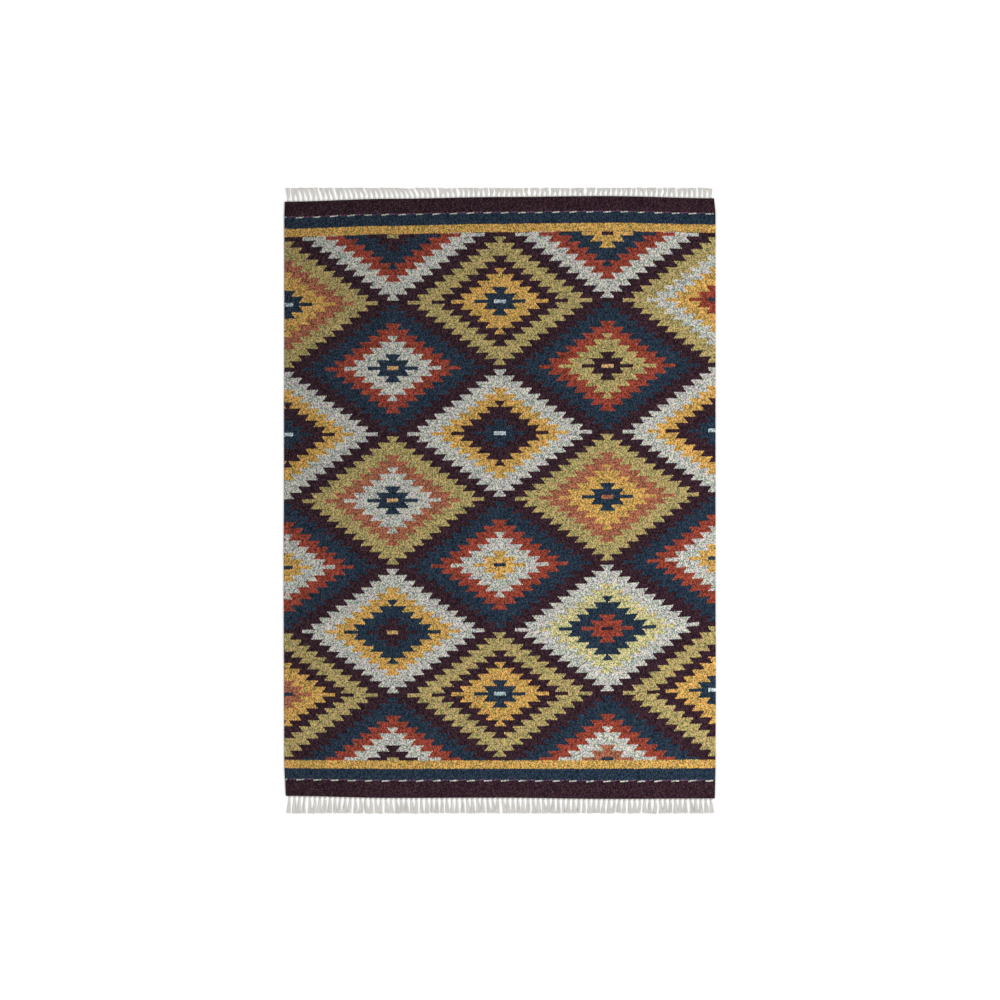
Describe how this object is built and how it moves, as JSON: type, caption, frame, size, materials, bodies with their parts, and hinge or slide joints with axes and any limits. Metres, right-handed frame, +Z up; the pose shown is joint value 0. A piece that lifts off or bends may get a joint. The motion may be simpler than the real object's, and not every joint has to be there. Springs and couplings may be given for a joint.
{
  "type": "kilim rug",
  "caption": "Flat-woven wool kilim rug with nested toothed diamonds, striped ends and a knotted cotton fringe along both ends.",
  "frame": {"origin": "middle of the underside of the whole rug, fringes included, on the floor", "axes": "+X across the loom, +Y along the rug towards its far fringe, +Z up out of the floor"},
  "size_m": [1.6, 2.32, 0.004],
  "materials": {
    "dyed_wool": "matt flat-woven wool in aubergine, indigo, madder red, ochre, olive and pale blue",
    "warp_cotton": "undyed off-white cotton yarn"
  },
  "bodies": {
    "root": {"rug_field": "dyed_wool", "fringe_far": "warp_cotton", "fringe_near": "warp_cotton"}
  },
  "joints": []
}
